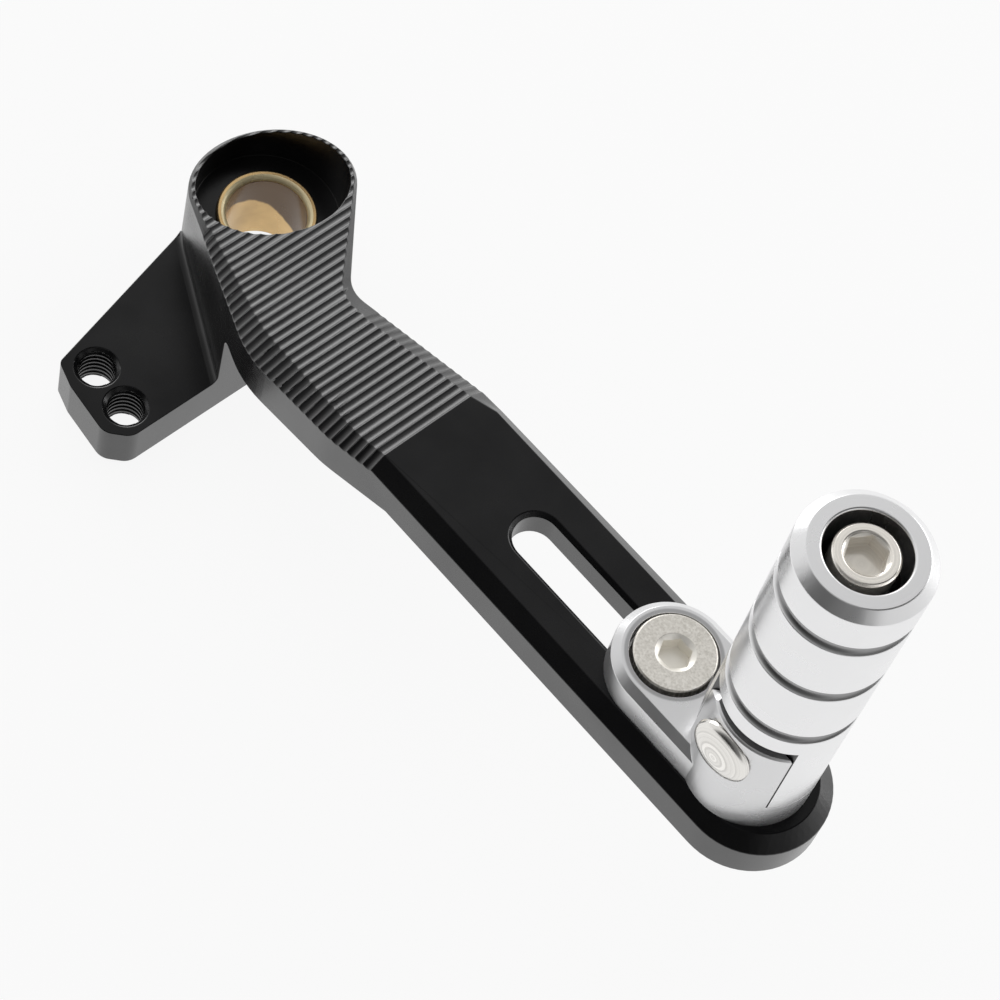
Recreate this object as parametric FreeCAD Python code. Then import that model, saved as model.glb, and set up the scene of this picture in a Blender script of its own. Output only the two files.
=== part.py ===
import FreeCAD, Part
import math
import os

V = FreeCAD.Vector

# Lever arm, in plan: the pivot axis is x = y = 0 and the back of the boss is z = 0.
BOSS_R = 15.0
RIM_R = 14.3
COUNTERBORE_R = 13.75
COUNTERBORE_Z = 16.4
BUSH_R = 9.3
BUSH_BORE_R = 7.5
BUSH_TOP_Z = 17.8
BUSH_CHAMFER = 0.7

SLOT_LINE_Y = -21.5
SLOT_END_X = 123.7
SLIDE_OUT = 2.4
BASE_PITCH = 19.7
BOLT_X = SLOT_END_X - SLIDE_OUT
PEG_X = BOLT_X + BASE_PITCH
END_X = SLOT_END_X + BASE_PITCH
TOP_Z = 51.0
ARM_THICK = 9.0
ARM_HALF = 13.1
EDGE_INSET = 2.7
RIDGE_HALF = ARM_HALF - EDGE_INSET
BEVEL_DROP = 2.3
BOSS_BEVEL_DROP = 0.8

# The ramp between the slotted end and the boss.
RAMP_RISE = math.tan(math.radians(20.2))
KINK_X = 63.2
BELOW_KINK_X = KINK_X + 5.2
RAMP_END_X = -9.0
NEAR_WALL_1 = (KINK_X - 10.1, SLOT_LINE_Y - ARM_HALF)
NEAR_WALL_2 = (29.1, -31.5)
NEAR_RIDGE_1 = (KINK_X - 6.2, SLOT_LINE_Y - RIDGE_HALF)
NEAR_RIDGE_2 = (26.6, -26.1)
NEAR_FILLET = 35.0
FAR_TURN_X = KINK_X + 4.9
FAR_WALL_TURN_Y = SLOT_LINE_Y + ARM_HALF - 0.7
FAR_WALL_KINK_Y = SLOT_LINE_Y + ARM_HALF - 0.9
FAR_WALL_BEND_Y = SLOT_LINE_Y + ARM_HALF - 0.2
FAR_RIDGE_TURN_Y = SLOT_LINE_Y + RIDGE_HALF
FAR_RIDGE_KINK_Y = SLOT_LINE_Y + RIDGE_HALF - 1.6
FAR_RIDGE_BEND = (30.6, SLOT_LINE_Y + RIDGE_HALF - 1.2)
FAR_ANGLE = math.radians(45.0)
FAR_WALL_FILLET = 9.0
FAR_RIDGE_FILLET = 13.0
SIDE_X = 19.1
SIDE_FILLET = 3.0

# Scallops left by the ball cutter across the ramp.
RIB_PITCH = 2.0
RIB_CUTTER_R = 2.0
NEAR_RIB_END_X = 1.2
FAR_RIB_END_X = 36.5
FAR_RIB_SINK = 0.14
RIB_RUN_IN = 1.2
RIB_RUN_OUT = 1.8

# Slot of the arm, its top edge and the wider channel behind it.
SLOT_HALF = 4.15
SLOT_X = (KINK_X + 26.8, SLOT_END_X)
SLOT_CHAMFER = 0.75
CHANNEL_HALF = 6.7
CHANNEL_LEAD = 7.4
CHANNEL_X = (SLOT_X[0] - CHANNEL_LEAD, SLOT_X[1] + CHANNEL_LEAD)
CHANNEL_Z = TOP_Z - 5.8

# Lug with the two threaded holes, beside the boss.
LUG_TOP = 9.3
LUG_CORNERS = ((-9.8, -11.7), (-0.75, -46.9), (4.4, -48.45), (15.4, -49.6), (SIDE_X, -46.0), (SIDE_X, -18.0))
LUG_ROUNDS = (0.0, 1.6, 3.0, 3.4, 3.4, 0.0)
LUG_HOLES = ((4.1, -42.15), (13.5, -43.05))
LUG_HOLE_R = 3.35
LUG_SINK = 0.9
LUG_FILLET = 1.5
LUG_FILLET_TURN = -20.0

# Peg base: foot on the arm and clevis for the peg.
FOOT_THICK = 7.2
FOOT_HALF = 10.2
FOOT_BEVEL = 1.4
SLOT_FLOOR = TOP_Z + FOOT_THICK
CLEVIS_R = 11.0
EAR_TOP = SLOT_FLOOR + 17.5
EAR_EDGE = 0.35
BOLT_SEAT_Z = TOP_Z + 3.2
BOLT_POCKET_R = 7.5
BOLT_HOLE_R = 4.25

# Slot bolt and nut.
BOLT_HEAD_R = 7.0
BOLT_HEAD_TOP = TOP_Z + 8.05
BOLT_HEAD_EDGE = 0.25
BOLT_R = 3.9
BOLT_HEX = 5.0
BOLT_HEX_DEPTH = 3.0
BOLT_SOCKET_MOUTH = 3.45
BOLT_MOUTH_DEPTH = 0.6
NUT_HEIGHT = 6.4
NUT_HALF = CHANNEL_HALF - 0.12
NUT_LENGTH = 14.0
NUT_EDGE = 0.5
THREAD_GAP = 0.05
BOLT_END = 1.2

# Folding peg: pin, tongue, barrel.
PIN_X = PEG_X - 0.9
PIN_Z = SLOT_FLOOR + 10.4
PIN_R = 5.0
PIN_FIT = 0.05
PIN_HEAD_R = 5.6
PIN_HEAD_RIM = 0.4
PIN_BEVEL = (4.7, 1.25)
PIN_FACE_R = 3.2
PIN_DOME = 1.9
PIN_SEAT = 10.3
PIN_SEAT_R = PIN_HEAD_R + 0.4
PIN_HEAD_GAP = 0.1
CLIP_SEAT = 9.5
CLIP_THICK = 0.9
CLIP_R = PIN_R + 1.5
CLIP_MOUTH = 5.0
PIN_FAR_END = CLIP_SEAT + CLIP_THICK + 0.4
TONGUE_HALF = 6.6
TONGUE_FIT = 0.2
FLOOR_FIT = 0.1
EAR_ROUND = 8.7
EAR_FOOT = 1.0
BARREL_R = CLEVIS_R
BARREL_FOOT = EAR_TOP + 2.6
BARREL_LENGTH = 45.4
BARREL_TOP = BARREL_FOOT + BARREL_LENGTH
BARREL_CHAMFER = 1.76
BARREL_EDGE = 0.25
GROOVE_COUNT = 3
GROOVE_FIRST = 4.0
GROOVE_PITCH = 15.0
GROOVE_HEIGHT = 2.6
GROOVE_DEPTH = 1.0
GROOVE_SLOPE = 0.9
BORE_R = 6.8
BORE_FLOOR = BARREL_TOP - 25.7
SCREW_HOLE_R = 3.4

# Shoulder screw and spring inside the barrel.
SCREW_HEAD_R = 5.25
SCREW_HEAD_TOP = BARREL_TOP - 0.7
SCREW_HEAD_HEIGHT = 5.0
SCREW_R = 3.0
SCREW_HEX = 5.9
SCREW_HEX_DEPTH = 3.2
SCREW_MOUTH = 3.75
SCREW_MOUTH_DEPTH = 0.55
SCREW_HEAD_EDGE = 0.4
SCREW_TIP_GAP = 0.3
SPRING_R = 4.7
WIRE_WIDTH = 1.3
WIRE_HEIGHT = 1.1
SPRING_GAP = 0.05
SPRING_TURNS = 4.5
SPRING_STEPS = 12

# Length that reaches past the whole lever, for tools that cut right across it.
REACH = SLOT_END_X
TOLERANCE = 0.001

RIB_STEP = RIB_PITCH / math.hypot(1, RAMP_RISE)
RIB_SINK = RIB_CUTTER_R - math.sqrt(RIB_CUTTER_R ** 2 - (RIB_PITCH / 2) ** 2)
RIB_COUNT = math.ceil((KINK_X + RIM_R) / RIB_STEP)
GROOVE_Z = [BARREL_FOOT + GROOVE_FIRST + GROOVE_PITCH * i for i in range(GROOVE_COUNT)]


def ramp_z(x):
    return TOP_Z + RAMP_RISE * (x - KINK_X)


def below_z(x):
    return TOP_Z - ARM_THICK + RAMP_RISE * (x - BELOW_KINK_X)


def bevel_line():
    # Slope and height of the plane through the lower edge of the ramp's bevels.
    end = ramp_z(RAMP_END_X) - BOSS_BEVEL_DROP
    start = TOP_Z - BEVEL_DROP
    slope = (start - end) / (KINK_X - RAMP_END_X)
    return slope, start - slope * KINK_X


def tangent_point(point, radius, side):
    # Point where a line from a point outside touches a circle round the pivot axis.
    away = math.hypot(point[0], point[1])
    turn = math.acos(radius / away) * side
    angle = math.atan2(point[1], point[0]) + turn
    return (radius * math.cos(angle), radius * math.sin(angle))


def corner_fillet(before, corner, after, radius):
    # Both ends and the middle of an arc that rounds a corner in plan.
    a = V(before[0] - corner[0], before[1] - corner[1], 0).normalize()
    b = V(after[0] - corner[0], after[1] - corner[1], 0).normalize()
    half = a.getAngle(b) / 2
    reach = radius / math.tan(half)
    c = V(corner[0], corner[1], 0)
    centre = c + (a + b).normalize() * (radius / math.sin(half))
    middle = centre + (c - centre).normalize() * radius
    return c + a * reach, middle, c + b * reach


def line(a, b):
    return Part.LineSegment(V(a[0], a[1], 0), V(b[0], b[1], 0)).toShape()


def arc(a, b, c):
    return Part.Arc(V(a[0], a[1], 0), V(b[0], b[1], 0), V(c[0], c[1], 0)).toShape()


def near_path(half, corners, radius):
    # Near edge in plan from the kink to the boss, with both of its corners rounded.
    start = (KINK_X, SLOT_LINE_Y - half)
    end = tangent_point(corners[1], radius, -1)
    first = corner_fillet(start, corners[0], corners[1], NEAR_FILLET)
    second = corner_fillet(corners[0], corners[1], end, NEAR_FILLET)
    return [start, *first, *second, end]


def ramp_outline(half, near, far_kink_y, far_bend, fillet, radius):
    # Closed plan outline of the ramp and the boss, from the kink round the pivot axis.
    path = near_path(half, near, radius)
    far_end = tangent_point(far_bend, radius, 1)
    end = (KINK_X, far_kink_y)
    first, middle, last = corner_fillet(far_end, far_bend, end, fillet)
    edges = [line(path[0], path[1]), arc(*path[1:4]), line(path[3], path[4]), arc(*path[4:7])]
    edges += [line(path[6], path[7]), arc(path[7], (-radius, 0), far_end), line(far_end, first)]
    edges += [arc(first, middle, last), line(last, end), line(end, path[0])]
    return Part.Wire(edges)


def slot_outline(half, turn_y, kink_y):
    # Closed plan outline of the flat slotted end, from the kink round the end.
    start = (KINK_X, SLOT_LINE_Y - half)
    low = (END_X, SLOT_LINE_Y - half)
    high = (END_X, SLOT_LINE_Y + half)
    turn = (FAR_TURN_X, turn_y)
    end = (KINK_X, kink_y)
    edges = [line(start, low), arc(low, (END_X + half, SLOT_LINE_Y), high), line(high, turn)]
    edges += [line(turn, end), line(end, start)]
    return Part.Wire(edges)


def lifted(wire, slope, height):
    # The plan wire carried straight up on to a sloping plane.
    matrix = FreeCAD.Matrix(1, 0, 0, 0, 0, 1, 0, 0, slope, 0, 1, height, 0, 0, 0, 1)
    return wire.transformGeometry(matrix)


def far_wall_bend():
    # The angled far wall touches the boss, so its corner follows from the boss radius.
    normal = V(math.cos(FAR_ANGLE), math.sin(FAR_ANGLE), 0)
    return ((BOSS_R - normal.y * FAR_WALL_BEND_Y) / normal.x, FAR_WALL_BEND_Y)


def side_profile():
    # Side view of the arm below its bevels, with the upright block under the boss.
    slope, height = bevel_line()
    reach = END_X + 2 * ARM_HALF
    back = -2 * BOSS_R
    under = below_z(SIDE_X)
    run = SIDE_FILLET * math.tan((math.pi / 2 - math.atan(RAMP_RISE)) / 2)
    along = V(1, 0, RAMP_RISE).normalize()
    corner = V(SIDE_X, 0, under)
    low = corner - V(0, 0, run)
    high = corner + along * run
    bisector = (V(0, 0, -1) + along).normalize()
    middle = corner + bisector * (math.hypot(run, SIDE_FILLET) - SIDE_FILLET)
    points = [high, V(BELOW_KINK_X, 0, TOP_Z - ARM_THICK), V(reach, 0, TOP_Z - ARM_THICK)]
    points += [V(reach, 0, TOP_Z - BEVEL_DROP), V(KINK_X, 0, TOP_Z - BEVEL_DROP)]
    points += [V(back, 0, slope * back + height), V(back, 0, 0), V(SIDE_X, 0, 0), low]
    edges = [Part.LineSegment(a, b).toShape() for a, b in zip(points, points[1:])]
    edges.append(Part.Arc(low, middle, high).toShape())
    return Part.Wire(edges)


def block(x0, x1, y0, y1, z0, z1):
    return Part.makeBox(x1 - x0, y1 - y0, z1 - z0, V(x0, y0, z0))


def stadium_wire(x0, x1, half, z):
    edges = [line((x0, SLOT_LINE_Y - half), (x1, SLOT_LINE_Y - half))]
    edges.append(arc((x1, SLOT_LINE_Y - half), (x1 + half, SLOT_LINE_Y), (x1, SLOT_LINE_Y + half)))
    edges.append(line((x1, SLOT_LINE_Y + half), (x0, SLOT_LINE_Y + half)))
    edges.append(arc((x0, SLOT_LINE_Y + half), (x0 - half, SLOT_LINE_Y), (x0, SLOT_LINE_Y - half)))
    wire = Part.Wire(edges)
    wire.translate(V(0, 0, z))
    return wire


def stadium(x0, x1, half, z0, z1):
    # Upright prism with round ends along the slot line.
    return Part.Face(stadium_wire(x0, x1, half, z0)).extrude(V(0, 0, z1 - z0))


def stadium_taper(x0, x1, half0, half1, z0, z1):
    return Part.makeLoft([stadium_wire(x0, x1, half0, z0), stadium_wire(x0, x1, half1, z1)], True, True)


def cone_ring(x, y, z, r0, r1, height):
    return Part.makeCone(r0, r1, height, V(x, y, z), V(0, 0, 1))


def top_ribs():
    # Side view of the scalloped cutter path over the ramp, carried across the arm.
    along = V(-1, 0, -RAMP_RISE).normalize()
    up = V(-RAMP_RISE, 0, 1).normalize()
    start = V(KINK_X, -REACH / 2, TOP_Z)
    edges = []
    for i in range(RIB_COUNT):
        a = start + along * (RIB_PITCH * i)
        b = start + along * (RIB_PITCH * (i + 1))
        edges.append(Part.Arc(a, (a + b) * 0.5 - up * RIB_SINK, b).toShape())
    end = start + along * (RIB_PITCH * RIB_COUNT)
    lift = up * (2 * RIB_CUTTER_R)
    edges.append(Part.LineSegment(end, end + lift).toShape())
    edges.append(Part.LineSegment(end + lift, start + lift).toShape())
    edges.append(Part.LineSegment(start + lift, start).toShape())
    return Part.Face(Part.Wire(edges)).extrude(V(0, REACH, 0))


def edge_y(points, x):
    for a, b in zip(points, points[1:]):
        if b[0] <= x <= a[0]:
            return a[1] + (b[1] - a[1]) * (x - a[0]) / (b[0] - a[0])
    return points[-1][1]


def bevel_ribs(ridge, wall, end_x, sink):
    # One cutter pass down the bevel under every scallop of the ramp.
    slope, height = bevel_line()
    tools = []
    for i in range(int((KINK_X - end_x) / RIB_STEP)):
        x = KINK_X - RIB_STEP * (i + 0.5)
        high = V(x, edge_y(ridge, x), ramp_z(x))
        low = V(x, edge_y(wall, x), slope * x + height)
        down = (low - high).normalize()
        turn = edge_y(ridge, x + RIB_STEP / 2) - edge_y(ridge, x - RIB_STEP / 2)
        normal = down.cross(V(RIB_STEP, turn, RIB_STEP * RAMP_RISE)).normalize()
        if normal.z < 0:
            normal = normal * -1
        base = high - down * RIB_RUN_IN + normal * (RIB_CUTTER_R - sink)
        length = (low - high).Length + RIB_RUN_IN + RIB_RUN_OUT
        tools.append(Part.makeCylinder(RIB_CUTTER_R, length, base, down))
    return tools


def lug_outline():
    # Flat ear beside the boss with rounded corners.
    n = len(LUG_CORNERS)
    edges = []
    first = None
    last = None
    for i in range(n):
        before = LUG_CORNERS[i - 1]
        corner = LUG_CORNERS[i]
        after = LUG_CORNERS[(i + 1) % n]
        if LUG_ROUNDS[i] > 0:
            a, m, b = corner_fillet(before, corner, after, LUG_ROUNDS[i])
        else:
            a = V(corner[0], corner[1], 0)
            m = None
            b = a
        if last is None:
            first = a
        else:
            edges.append(Part.LineSegment(last, a).toShape())
        if m is not None:
            edges.append(Part.Arc(a, m, b).toShape())
        last = b
    edges.append(Part.LineSegment(last, first).toShape())
    return Part.Face(Part.Wire(edges))


def lug_fillet(wall):
    # Concave fillet from the top of the lug to the near wall and the boss, ended by the outline of the lug.
    start = V(wall[-2][0], wall[-2][1], LUG_TOP)
    end = V(wall[-1][0], wall[-1][1], LUG_TOP)
    along = (end - start).normalize()
    out = V(-along.y, along.x, 0) * LUG_FILLET
    up = V(0, 0, LUG_FILLET)
    faces = []
    for corner in (start, end):
        middle = corner + (out + up) * (1 - math.sqrt(0.5))
        points = [corner + up, corner + up - out, corner - up - out, corner - up + out, corner + out]
        edges = [Part.LineSegment(a, b).toShape() for a, b in zip(points, points[1:])]
        edges.append(Part.Arc(points[-1], middle, points[0]).toShape())
        faces.append(Part.Face(Part.Wire(edges)))
    solid = faces[0].extrude(end - start)
    solid = solid.fuse(faces[1].revolve(V(0, 0, 0), V(0, 0, 1), LUG_FILLET_TURN))
    return solid.common(lug_outline().extrude(V(0, 0, LUG_TOP + LUG_FILLET)))


def lever_arm():
    bend = far_wall_bend()
    near_wall = (NEAR_WALL_1, NEAR_WALL_2)
    near_ridge = (NEAR_RIDGE_1, NEAR_RIDGE_2)
    low_ramp = ramp_outline(ARM_HALF, near_wall, FAR_WALL_KINK_Y, bend, FAR_WALL_FILLET, BOSS_R)
    top_ramp = ramp_outline(RIDGE_HALF, near_ridge, FAR_RIDGE_KINK_Y, FAR_RIDGE_BEND, FAR_RIDGE_FILLET, RIM_R)
    low_slot = slot_outline(ARM_HALF, FAR_WALL_TURN_Y, FAR_WALL_KINK_Y)
    top_slot = slot_outline(RIDGE_HALF, FAR_RIDGE_TURN_Y, FAR_RIDGE_KINK_Y)
    slope, height = bevel_line()

    plan = Part.Face(low_ramp).extrude(V(0, 0, 2 * TOP_Z))
    plan = plan.fuse(Part.Face(low_slot).extrude(V(0, 0, 2 * TOP_Z))).removeSplitter()
    side = Part.Face(side_profile())
    side.translate(V(0, -REACH / 2, 0))
    body = plan.common(side.extrude(V(0, REACH, 0)))

    ramp_wires = [lifted(low_ramp, slope, height), lifted(top_ramp, RAMP_RISE, ramp_z(0))]
    slot_wires = [lifted(low_slot, 0, TOP_Z - BEVEL_DROP), lifted(top_slot, 0, TOP_Z)]
    cap = Part.makeLoft(ramp_wires, True, True).fuse(Part.makeLoft(slot_wires, True, True))
    ridge = near_path(RIDGE_HALF, near_ridge, RIM_R)
    wall = near_path(ARM_HALF, near_wall, BOSS_R)
    body = body.fuse([cap, lug_outline().extrude(V(0, 0, LUG_TOP)), lug_fillet(wall)])

    far_ridge = [(KINK_X, FAR_RIDGE_KINK_Y), FAR_RIDGE_BEND]
    far_wall = [(KINK_X, FAR_WALL_KINK_Y), bend]
    body = body.cut(bevel_ribs(ridge, wall, NEAR_RIB_END_X, RIB_SINK))
    body = body.cut(bevel_ribs(far_ridge, far_wall, FAR_RIB_END_X, FAR_RIB_SINK))
    body = body.cut(top_ribs())

    cuts = [Part.makeCylinder(COUNTERBORE_R, TOP_Z, V(0, 0, COUNTERBORE_Z))]
    cuts.append(Part.makeCylinder(BUSH_R, TOP_Z))
    cuts.append(stadium(SLOT_X[0], SLOT_X[1], SLOT_HALF, TOP_Z - 2 * ARM_THICK, 2 * TOP_Z))
    cuts.append(stadium_taper(SLOT_X[0], SLOT_X[1], SLOT_HALF, SLOT_HALF + 2 * SLOT_CHAMFER,
                              TOP_Z - SLOT_CHAMFER, TOP_Z + SLOT_CHAMFER))
    cuts.append(stadium(CHANNEL_X[0], CHANNEL_X[1], CHANNEL_HALF, TOP_Z - 2 * ARM_THICK, CHANNEL_Z))
    for x, y in LUG_HOLES:
        cuts.append(Part.makeCylinder(LUG_HOLE_R, LUG_TOP, V(x, y, 0)))
        cuts.append(cone_ring(x, y, LUG_TOP - LUG_SINK, LUG_HOLE_R, LUG_HOLE_R + 2 * LUG_SINK, 2 * LUG_SINK))
        cuts.append(cone_ring(x, y, -LUG_SINK, LUG_HOLE_R + 2 * LUG_SINK, LUG_HOLE_R, 2 * LUG_SINK))
    return body.cut(cuts)


def turned(points, x, y):
    # Body of revolution round an upright axis from a closed half profile.
    profile = Part.makePolygon([V(x + r, y, z) for r, z in points + points[:1]])
    return Part.Face(profile).revolve(V(x, y, 0), V(0, 0, 1), 360)


def pivot_bush():
    c = BUSH_CHAMFER
    profile = [(BUSH_BORE_R, 0), (BUSH_R, 0), (BUSH_R, BUSH_TOP_Z)]
    profile += [(BUSH_BORE_R + c, BUSH_TOP_Z), (BUSH_BORE_R, BUSH_TOP_Z - c)]
    return turned(profile, 0, 0)


def hex_prism(x, y, flats, z0, z1):
    r = flats / math.sqrt(3)
    points = [V(x + r * math.cos(math.pi / 3 * i), y + r * math.sin(math.pi / 3 * i), z0) for i in range(7)]
    return Part.Face(Part.makePolygon(points)).extrude(V(0, 0, z1 - z0))


def peg_base():
    y = SLOT_LINE_Y
    foot = stadium(BOLT_X, PEG_X, FOOT_HALF, TOP_Z, SLOT_FLOOR - FOOT_BEVEL)
    foot = foot.fuse(stadium_taper(BOLT_X, PEG_X, FOOT_HALF, FOOT_HALF - FOOT_BEVEL,
                                   SLOT_FLOOR - FOOT_BEVEL, SLOT_FLOOR))
    clevis = Part.makeCylinder(CLEVIS_R, EAR_TOP - TOP_Z - EAR_EDGE, V(PEG_X, y, TOP_Z))
    clevis = clevis.fuse(cone_ring(PEG_X, y, EAR_TOP - EAR_EDGE, CLEVIS_R, CLEVIS_R - EAR_EDGE, EAR_EDGE))
    far = 2 * CLEVIS_R
    slot_half = TONGUE_HALF + TONGUE_FIT
    clevis = clevis.cut(block(PEG_X - far, PEG_X + far, y - slot_half, y + slot_half, SLOT_FLOOR, 2 * EAR_TOP))
    rear = block(PIN_X - far, PIN_X, y - far, y + far, SLOT_FLOOR + EAR_FOOT, 2 * EAR_TOP)
    round_part = Part.makeCylinder(EAR_ROUND, 2 * far, V(PIN_X, y - far, PIN_Z), V(0, 1, 0))
    stand = block(PIN_X - EAR_ROUND, PIN_X, y - far, y + far, SLOT_FLOOR, PIN_Z)
    clevis = clevis.cut(rear.cut([round_part, stand]))
    cuts = [Part.makeCylinder(BOLT_POCKET_R, far, V(BOLT_X, y, BOLT_SEAT_Z))]
    cuts.append(Part.makeCylinder(BOLT_HOLE_R, FOOT_THICK, V(BOLT_X, y, TOP_Z)))
    cuts.append(Part.makeCylinder(PIN_R + PIN_FIT, 2 * far, V(PIN_X, y - far, PIN_Z), V(0, 1, 0)))
    cuts.append(Part.makeCylinder(PIN_SEAT_R, far, V(PIN_X, y - PIN_SEAT, PIN_Z), V(0, -1, 0)))
    cuts.append(Part.makeCylinder(CLIP_R + PIN_HEAD_GAP, far, V(PIN_X, y + CLIP_SEAT, PIN_Z), V(0, 1, 0)))
    return foot.fuse(clevis).cut(cuts).removeSplitter()


def slot_bolt():
    e = BOLT_HEAD_EDGE
    end = CHANNEL_Z - NUT_HEIGHT - BOLT_END
    profile = [(0, end), (BOLT_R, end), (BOLT_R, BOLT_SEAT_Z), (BOLT_HEAD_R, BOLT_SEAT_Z)]
    profile += [(BOLT_HEAD_R, BOLT_HEAD_TOP - e), (BOLT_HEAD_R - e, BOLT_HEAD_TOP), (0, BOLT_HEAD_TOP)]
    solid = turned(profile, BOLT_X, SLOT_LINE_Y)
    socket = hex_prism(BOLT_X, SLOT_LINE_Y, BOLT_HEX, BOLT_HEAD_TOP - BOLT_HEX_DEPTH, BOLT_HEAD_TOP)
    mouth = cone_ring(BOLT_X, SLOT_LINE_Y, BOLT_HEAD_TOP - BOLT_MOUTH_DEPTH, BOLT_HEX / 2, BOLT_SOCKET_MOUTH,
                      BOLT_MOUTH_DEPTH)
    return solid.cut([socket, mouth])


def slot_nut():
    top = CHANNEL_Z
    foot = top - NUT_HEIGHT
    solid = block(BOLT_X - NUT_LENGTH / 2, BOLT_X + NUT_LENGTH / 2, SLOT_LINE_Y - NUT_HALF, SLOT_LINE_Y + NUT_HALF,
                  foot, top)
    corners = [e for e in solid.Edges if abs(e.tangentAt(e.FirstParameter).z) > 1 - TOLERANCE]
    solid = solid.makeChamfer(NUT_EDGE, corners)
    hole = Part.makeCylinder(BOLT_R + THREAD_GAP, NUT_HEIGHT, V(BOLT_X, SLOT_LINE_Y, foot))
    return solid.cut(hole)


def peg_barrel():
    y = SLOT_LINE_Y
    e = BARREL_EDGE
    profile = [(0, BARREL_FOOT), (BARREL_R, BARREL_FOOT)]
    for z in GROOVE_Z:
        profile += [(BARREL_R, z), (BARREL_R - GROOVE_DEPTH, z + GROOVE_SLOPE)]
        profile += [(BARREL_R - GROOVE_DEPTH, z + GROOVE_HEIGHT), (BARREL_R, z + GROOVE_HEIGHT)]
    profile += [(BARREL_R, BARREL_TOP - BARREL_CHAMFER), (BARREL_R - BARREL_CHAMFER, BARREL_TOP)]
    profile += [(BORE_R + e, BARREL_TOP), (BORE_R, BARREL_TOP - e), (BORE_R, BORE_FLOOR), (0, BORE_FLOOR)]
    solid = turned(profile, PEG_X, y)
    foot = SLOT_FLOOR + FLOOR_FIT
    far = 2 * BARREL_R
    tongue = Part.makeCylinder(BARREL_R, BARREL_FOOT - foot, V(PEG_X, y, foot))
    tongue = tongue.common(block(PEG_X - far, PEG_X + far, y - TONGUE_HALF, y + TONGUE_HALF, foot, BARREL_FOOT))
    rear = block(PIN_X - far, PIN_X, y - far, y + far, TOP_Z, PIN_Z)
    sweep = Part.makeCylinder(PIN_Z - foot, 2 * far, V(PIN_X, y - far, PIN_Z), V(0, 1, 0))
    tongue = tongue.cut(rear.cut(sweep))
    solid = solid.fuse(tongue)
    cuts = [Part.makeCylinder(PIN_R + PIN_FIT, 2 * far, V(PIN_X, y - far, PIN_Z), V(0, 1, 0))]
    cuts.append(Part.makeCylinder(SCREW_HOLE_R, BORE_FLOOR - PIN_Z, V(PEG_X, y, PIN_Z)))
    return solid.cut(cuts).removeSplitter()


def fold_pin():
    # Low crowned head on the near side and a blind tapped hole down into the middle for the spring screw.
    y = SLOT_LINE_Y
    seat = PIN_SEAT + PIN_HEAD_GAP
    rim = seat + PIN_HEAD_RIM
    profile = [(0, -PIN_FAR_END), (PIN_R, -PIN_FAR_END), (PIN_R, seat), (PIN_HEAD_R, seat), (PIN_HEAD_R, rim)]
    profile += [(PIN_BEVEL[0], rim + PIN_BEVEL[1]), (PIN_FACE_R, rim + PIN_DOME), (0, rim + PIN_DOME)]
    outline = Part.makePolygon([V(PIN_X + r, y - out, PIN_Z) for r, out in profile + profile[:1]])
    solid = Part.Face(outline).revolve(V(PIN_X, y, PIN_Z), V(0, 1, 0), 360)
    depth = math.sqrt(PIN_R ** 2 - (SCREW_R + PEG_X - PIN_X) ** 2)
    return solid.cut(Part.makeCylinder(SCREW_R + THREAD_GAP, depth + PIN_R, V(PEG_X, y, PIN_Z - depth)))


def pin_clip():
    # Push-on retaining ring, open at the foot, on the plain far end of the pin.
    seat = SLOT_LINE_Y + CLIP_SEAT + PIN_HEAD_GAP
    ring = Part.makeCylinder(CLIP_R, CLIP_THICK, V(PIN_X, seat, PIN_Z), V(0, 1, 0))
    hole = Part.makeCylinder(PIN_R + PIN_FIT, CLIP_THICK, V(PIN_X, seat, PIN_Z), V(0, 1, 0))
    half = CLIP_MOUTH / 2
    mouth = block(PIN_X - half, PIN_X + half, seat, seat + CLIP_THICK, PIN_Z - CLIP_R, PIN_Z)
    return ring.cut([hole, mouth])


def spring_screw():
    y = SLOT_LINE_Y
    head_foot = SCREW_HEAD_TOP - SCREW_HEAD_HEIGHT
    tip = PIN_Z - math.sqrt(PIN_R ** 2 - (SCREW_R + PEG_X - PIN_X) ** 2) + SCREW_TIP_GAP
    e = SCREW_HEAD_EDGE
    profile = [(0, tip), (SCREW_R, tip), (SCREW_R, head_foot), (SCREW_HEAD_R, head_foot)]
    profile += [(SCREW_HEAD_R, SCREW_HEAD_TOP - e), (SCREW_HEAD_R - e, SCREW_HEAD_TOP), (0, SCREW_HEAD_TOP)]
    solid = turned(profile, PEG_X, y)
    socket = hex_prism(PEG_X, y, SCREW_HEX, SCREW_HEAD_TOP - SCREW_HEX_DEPTH, SCREW_HEAD_TOP)
    mouth = cone_ring(PEG_X, y, SCREW_HEAD_TOP - SCREW_MOUTH_DEPTH, SCREW_HEX / 2, SCREW_MOUTH, SCREW_MOUTH_DEPTH)
    return solid.cut([socket, mouth])


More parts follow.
